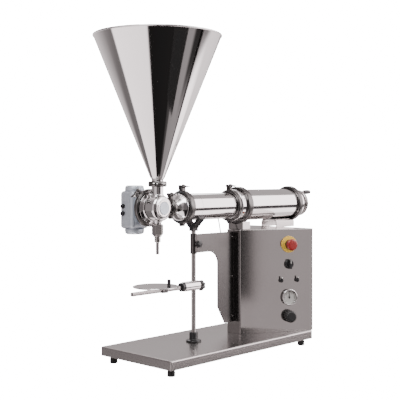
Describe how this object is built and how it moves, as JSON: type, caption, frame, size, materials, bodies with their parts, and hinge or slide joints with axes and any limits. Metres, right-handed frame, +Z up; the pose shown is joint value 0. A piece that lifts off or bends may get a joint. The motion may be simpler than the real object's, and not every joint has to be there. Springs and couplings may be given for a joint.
{
  "type": "piston liquid filler",
  "caption": "Bench piston liquid filler with a conical hopper, three-way valve, dosing cylinder and air cylinder on a wedge-shaped control cabinet.",
  "frame": {"origin": "on the floor, under the middle of the machine's box", "axes": "+Z up, +X from the hopper end to the crank end along the dosing line, -Y towards the operator's control panel"},
  "size_m": [1.038, 0.42, 1.071],
  "materials": {
    "brushed_steel": "brushed stainless sheet",
    "polished_steel": "mirror-polished stainless",
    "cast_steel": "cast and blasted stainless",
    "blue_aluminium": "anodised, blue-grey",
    "black_plastic": "moulded black",
    "black_rubber": "black rubber",
    "red_plastic": "glossy red",
    "yellow_plastic": "yellow",
    "white_plastic": "white PTFE"
  },
  "bodies": {
    "machine": {"actuator_body": "blue_aluminium", "actuator_bottom_cap": "blue_aluminium", "actuator_clamp": "cast_steel", "actuator_top_cap": "blue_aluminium", "air_cylinder": "polished_steel", "air_hose": "black_rubber", "air_inlet": "cast_steel", "base_tray": "brushed_steel", "c_bracket": "brushed_steel", "cabinet_rear_cover": "brushed_steel", "cabinet_shell": "brushed_steel", "column": "polished_steel", "column_foot": "black_plastic", "cylinder_clamp": "cast_steel", "dosing_tube": "polished_steel", "estop_ring": "yellow_plastic", "foot_1": "black_rubber", "foot_2": "black_rubber", "foot_3": "black_rubber", "foot_4": "black_rubber", "front_head": "polished_steel", "gauge_case": "polished_steel", "hopper": "polished_steel", "hopper_clamp": "cast_steel", "inlet_clamp": "cast_steel", "middle_clamp": "cast_steel", "middle_support": "brushed_steel", "nozzle_tube": "polished_steel", "nozzle_union": "polished_steel", "rear_clamp": "cast_steel", "rear_head": "polished_steel", "rear_support": "brushed_steel", "reducer": "polished_steel", "tube_clamp": "cast_steel", "v_cradle": "black_plastic", "valve_body": "polished_steel"},
    "piston": {"dosing_piston": "white_plastic", "piston_seal": "black_rubber", "piston_rod": "polished_steel", "air_piston": "cast_steel"},
    "valve_core": {"valve_plug": "cast_steel"},
    "stroke_screw": {"stroke_screw": "cast_steel"},
    "hand_wheel": {"hand_wheel": "cast_steel"},
    "crank_grip": {"crank_grip": "black_plastic"},
    "estop_head": {"estop_head": "red_plastic"},
    "selector_knob": {"selector_knob": "black_plastic"},
    "speed_valve_1": {"speed_valve_1": "black_plastic"},
    "speed_valve_2": {"speed_valve_2": "black_plastic"},
    "gauge_needle": {"gauge_needle": "black_plastic"},
    "regulator_knob": {"regulator_knob": "black_plastic"},
    "table": {"table_clamp": "polished_steel", "table_bar": "brushed_steel", "table_disc": "polished_steel", "jar_stop": "black_plastic"},
    "table_clamp_knob": {"table_clamp_knob": "black_plastic"},
    "bracket_knob": {"bracket_knob": "black_plastic"},
    "hopper_wing_nut": {"hopper_wing_nut": "cast_steel"},
    "inlet_wing_nut": {"inlet_wing_nut": "cast_steel"},
    "tube_wing_nut": {"tube_wing_nut": "cast_steel"},
    "middle_wing_nut": {"middle_wing_nut": "cast_steel"}
  },
  "joints": [
    {"name": "piston_stroke", "type": "slide", "parent": "machine", "child": "piston", "axis": [1, 0, 0], "range_m": [0, 0.16]},
    {"name": "valve_turn", "type": "hinge", "parent": "machine", "child": "valve_core", "pos_m": [-0.309, 0, 0.511], "axis": [0, 1, 0], "range_deg": [0, 90]},
    {"name": "stroke_screw_travel", "type": "slide", "parent": "machine", "child": "stroke_screw", "axis": [1, 0, 0], "range_m": [0, 0.04]},
    {"name": "stroke_wheel_turn", "type": "hinge", "parent": "stroke_screw", "child": "hand_wheel", "pos_m": [0.44, 0, 0.511], "axis": [1, 0, 0], "range_deg": [0, 3600]},
    {"name": "crank_grip_spin", "type": "hinge", "parent": "hand_wheel", "child": "crank_grip", "pos_m": [0.477, 0, 0.552], "axis": [1, 0, 0], "continuous": true},
    {"name": "estop_press", "type": "slide", "parent": "machine", "child": "estop_head", "axis": [0.4769, 0.879, 0], "range_m": [0, 0.006]},
    {"name": "selector_turn", "type": "hinge", "parent": "machine", "child": "selector_knob", "pos_m": [0.22837, -0.12017, 0.298], "axis": [-0.4769, -0.879, 0], "range_deg": [0, 90]},
    {"name": "speed_valve_1_turn", "type": "hinge", "parent": "machine", "child": "speed_valve_1", "pos_m": [0.20112, -0.10539, 0.24], "axis": [-0.4769, -0.879, 0], "range_deg": [0, 90]},
    {"name": "speed_valve_2_turn", "type": "hinge", "parent": "machine", "child": "speed_valve_2", "pos_m": [0.25562, -0.13495, 0.24], "axis": [-0.4769, -0.879, 0], "range_deg": [0, 90]},
    {"name": "gauge_needle_swing", "type": "hinge", "parent": "machine", "child": "gauge_needle", "pos_m": [0.22837, -0.12017, 0.179], "axis": [-0.4769, -0.879, 0], "range_deg": [-135, 135]},
    {"name": "regulator_turn", "type": "hinge", "parent": "machine", "child": "regulator_knob", "pos_m": [0.22837, -0.12017, 0.111], "axis": [-0.4769, -0.879, 0], "range_deg": [0, 720]},
    {"name": "table_lift", "type": "slide", "parent": "machine", "child": "table", "axis": [0, 0, 1], "range_m": [-0.135, 0.09]},
    {"name": "table_clamp_knob_turn", "type": "hinge", "parent": "table", "child": "table_clamp_knob", "pos_m": [-0.109, 0, 0.242], "axis": [1, 0, 0], "range_deg": [0, 360]},
    {"name": "bracket_knob_turn", "type": "hinge", "parent": "machine", "child": "bracket_knob", "pos_m": [-0.141, -0.02, 0.386], "axis": [0, -1, 0], "range_deg": [0, 360]},
    {"name": "hopper_wing_nut_turn", "type": "hinge", "parent": "machine", "child": "hopper_wing_nut", "pos_m": [-0.33962, -0.03062, 0.589], "axis": [0.7071, -0.7071, 0], "range_deg": [0, 720]},
    {"name": "inlet_wing_nut_turn", "type": "hinge", "parent": "machine", "child": "inlet_wing_nut", "pos_m": [-0.251, 0, 0.5543], "axis": [0, -1, 0], "range_deg": [0, 720]},
    {"name": "tube_wing_nut_turn", "type": "hinge", "parent": "machine", "child": "tube_wing_nut", "pos_m": [-0.196, 0, 0.5803], "axis": [0, -1, 0], "range_deg": [0, 720]},
    {"name": "middle_wing_nut_turn", "type": "hinge", "parent": "machine", "child": "middle_wing_nut", "pos_m": [0.04, 0, 0.5803], "axis": [0, -1, 0], "range_deg": [0, 720]}
  ],
  "couplings": [
    {"joint": "stroke_screw_travel", "follows": "stroke_wheel_turn", "m_per_rad": 0.00063662}
  ]
}
